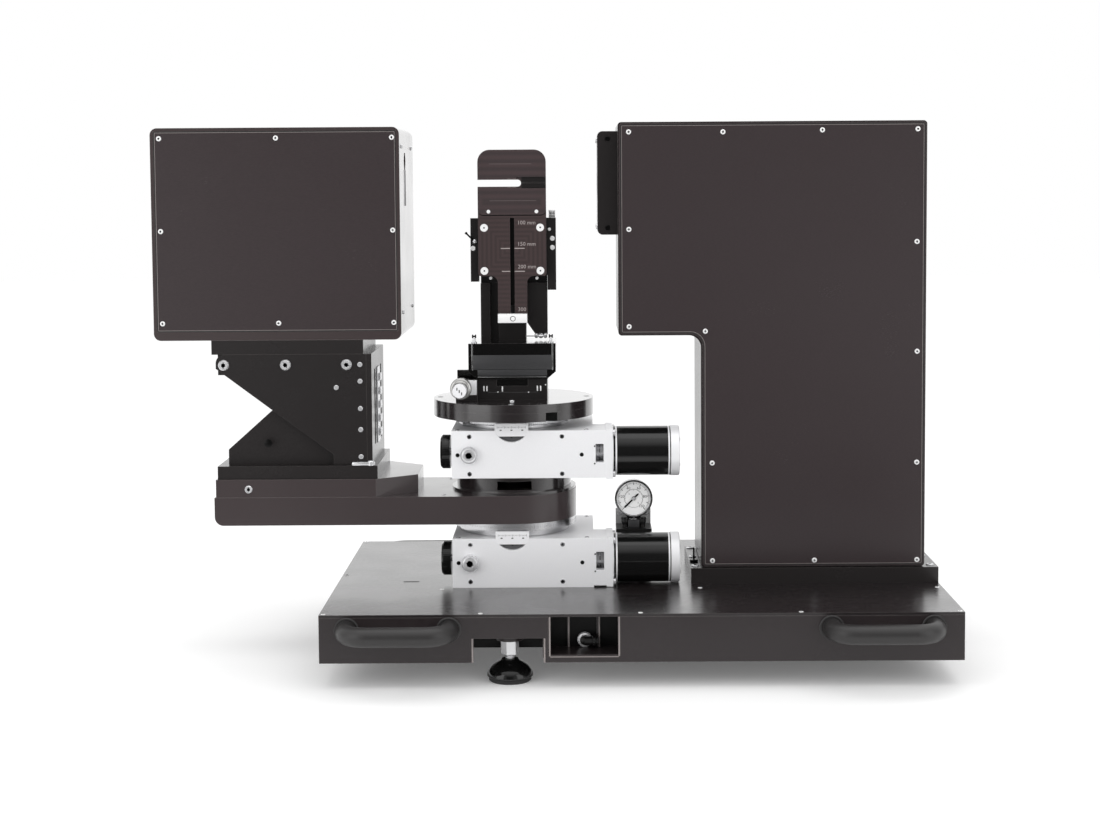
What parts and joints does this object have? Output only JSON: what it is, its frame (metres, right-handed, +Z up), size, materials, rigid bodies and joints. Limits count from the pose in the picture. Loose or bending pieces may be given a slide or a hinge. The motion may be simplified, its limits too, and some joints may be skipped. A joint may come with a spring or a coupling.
{
  "type": "infrared ellipsometer",
  "caption": "Bench infrared ellipsometer: a column with the light source, a worm driven goniometer with a swinging detector arm, and an upright sample stage on a plinth.",
  "frame": {"origin": "on the bench under the middle of the instrument's bounding box", "axes": "+Z up, +X from the detector box towards the light source column along the beam, -Y towards the operator"},
  "size_m": [0.888, 0.512, 0.605],
  "materials": {
    "black_anodised": "satin black anodised aluminium",
    "black_sheet": "satin black finish on sheet and cover plates",
    "clear_anodised": "bead blasted, clear anodised aluminium",
    "turned_steel": "turned and brushed steel",
    "bright_steel": "bright plated steel",
    "black_rubber": "moulded black rubber",
    "black_plastic": "moulded black plastic",
    "motor_black": "black enamelled motor casing",
    "white_plastic": "machined white plastic",
    "pale_sheet": "bright zinc plated sheet",
    "gauge_steel": "stainless gauge case"
  },
  "bodies": {
    "root": {"base_frame": "black_anodised", "base_top_sheets": "black_sheet", "carry_handles": "black_rubber", "lower_stage_housing": "clear_anodised", "lower_stage_clamp_screw": "bright_steel", "lower_stage_vernier": "clear_anodised", "lower_stage_coupling_box": "clear_anodised", "lower_stage_motor": "motor_black", "column_frame": "black_anodised", "column_covers": "black_sheet", "column_flange": "black_anodised", "snout": "black_anodised", "spectrometer_bed": "black_anodised", "gauge_bracket": "pale_sheet", "gauge_manifold": "black_plastic", "gauge_case": "gauge_steel"},
    "front_foot": {"front_foot": "black_rubber"},
    "rear_foot": {"rear_foot": "black_rubber"},
    "side_foot": {"side_foot": "black_rubber"},
    "inlet": {"inlet_elbow": "black_plastic"},
    "lower_worm": {"lower_stage_hand_knob": "black_plastic", "lower_stage_worm_shaft": "turned_steel"},
    "arm": {"lower_stage_rotor": "turned_steel", "detector_arm": "black_anodised", "arm_spacer": "black_anodised", "upper_stage_housing": "clear_anodised", "upper_stage_clamp_screw": "bright_steel", "upper_stage_vernier": "clear_anodised", "upper_stage_coupling_box": "clear_anodised", "upper_stage_motor": "motor_black", "stand_foot": "black_anodised", "stand_ribbed_plate": "black_anodised", "stand_side_plates": "black_anodised", "stand_end_plate": "pale_sheet", "stand_top_block": "black_anodised", "box_frame": "black_anodised", "box_covers": "black_sheet", "optics_bench": "black_anodised", "detector_dewar": "turned_steel"},
    "upper_worm": {"upper_stage_hand_knob": "black_plastic", "upper_stage_worm_shaft": "turned_steel"},
    "compensator": {"compensator_rotor": "turned_steel"},
    "analyser": {"analyser_rotor": "turned_steel"},
    "polariser": {"polariser_rotor": "turned_steel"},
    "scan_mirror": {"scan_mirror": "turned_steel"},
    "table": {"upper_stage_rotor": "turned_steel", "table_discs": "black_anodised", "cross_base": "black_anodised"},
    "cross_slide": {"slide_block": "black_anodised", "slide_adjusters": "bright_steel", "tower": "black_anodised"},
    "spindle": {"micrometer_spindle": "turned_steel"},
    "thimble": {"micrometer_thimble": "turned_steel"},
    "sample_plate": {"tilt_block": "black_anodised", "sample_plate": "black_anodised", "sample_plate_screws": "bright_steel", "transmission_plate": "black_anodised"},
    "ledge": {"sample_ledge": "white_plastic"},
    "tip_knob": {"tip_knob": "bright_steel"},
    "needle": {"gauge_needle": "black_plastic"}
  },
  "joints": [
    {"name": "arm_rotation", "type": "hinge", "parent": "root", "child": "arm", "pos_m": [-0.041, 0, 0.152], "axis": [0, 0, 1], "range_deg": [0, 125]},
    {"name": "lower_worm_turn", "type": "hinge", "parent": "root", "child": "lower_worm", "pos_m": [-0.041, -0.0475, 0.109], "axis": [1, 0, 0], "range_deg": [0, 9000]},
    {"name": "sample_rotation", "type": "hinge", "parent": "arm", "child": "table", "pos_m": [-0.041, 0, 0.27], "axis": [0, 0, 1], "range_deg": [-180, 180]},
    {"name": "upper_worm_turn", "type": "hinge", "parent": "arm", "child": "upper_worm", "pos_m": [-0.041, -0.0475, 0.232], "axis": [1, 0, 0], "range_deg": [-12960, 12960]},
    {"name": "cross_feed", "type": "slide", "parent": "table", "child": "cross_slide", "axis": [0, 1, 0], "range_m": [0, 0.013]},
    {"name": "spindle_feed", "type": "slide", "parent": "table", "child": "spindle", "axis": [0, 1, 0], "range_m": [0, 0.013]},
    {"name": "thimble_turn", "type": "hinge", "parent": "spindle", "child": "thimble", "pos_m": [-0.098, 0, 0.306], "axis": [0, 1, 0], "range_deg": [0, 4680]},
    {"name": "sample_tip", "type": "hinge", "parent": "cross_slide", "child": "sample_plate", "pos_m": [-0.041, 0.025, 0.464], "axis": [1, 0, 0], "range_deg": [-2, 2]},
    {"name": "tip_knob_turn", "type": "hinge", "parent": "sample_plate", "child": "tip_knob", "pos_m": [0.005, 0.018, 0.497], "axis": [0, 0, 1], "range_deg": [-180, 180]},
    {"name": "ledge_slide", "type": "slide", "parent": "sample_plate", "child": "ledge", "axis": [0, 0, 1], "range_m": [0, 0.1]},
    {"name": "compensator_spin", "type": "hinge", "parent": "arm", "child": "compensator", "pos_m": [-0.1935, 0, 0.536], "axis": [1, 0, 0], "continuous": true},
    {"name": "analyser_spin", "type": "hinge", "parent": "arm", "child": "analyser", "pos_m": [-0.2385, 0, 0.536], "axis": [1, 0, 0], "continuous": true},
    {"name": "polariser_spin", "type": "hinge", "parent": "root", "child": "polariser", "pos_m": [0.0705, 0, 0.536], "axis": [1, 0, 0], "continuous": true},
    {"name": "mirror_scan", "type": "slide", "parent": "root", "child": "scan_mirror", "axis": [1, 0, 0], "range_m": [-0.04, 0]},
    {"name": "gauge_sweep", "type": "hinge", "parent": "root", "child": "needle", "pos_m": [0.098, -0.022, 0.172], "axis": [0, 1, 0], "range_deg": [0, 270]},
    {"name": "inlet_swivel", "type": "hinge", "parent": "root", "child": "inlet", "pos_m": [0.04, -0.171, 0.044], "axis": [0, 1, 0], "range_deg": [-180, 5]},
    {"name": "front_foot_turn", "type": "hinge", "parent": "root", "child": "front_foot", "pos_m": [-0.041, -0.175, 0], "axis": [0, 0, 1], "range_deg": [-180, 180]},
    {"name": "rear_foot_turn", "type": "hinge", "parent": "root", "child": "rear_foot", "pos_m": [-0.041, 0.175, 0], "axis": [0, 0, 1], "range_deg": [-180, 180]},
    {"name": "side_foot_turn", "type": "hinge", "parent": "root", "child": "side_foot", "pos_m": [0.384, 0, 0], "axis": [0, 0, 1], "range_deg": [-180, 180]}
  ],
  "couplings": [
    {"joint": "lower_worm_turn", "follows": "arm_rotation", "ratio": 72},
    {"joint": "upper_worm_turn", "follows": "sample_rotation", "ratio": 72},
    {"joint": "spindle_feed", "follows": "cross_feed", "ratio": 1},
    {"joint": "thimble_turn", "follows": "cross_feed", "rad_per_m": 6283.2},
    {"joint": "tip_knob_turn", "follows": "sample_tip", "ratio": 90}
  ]
}
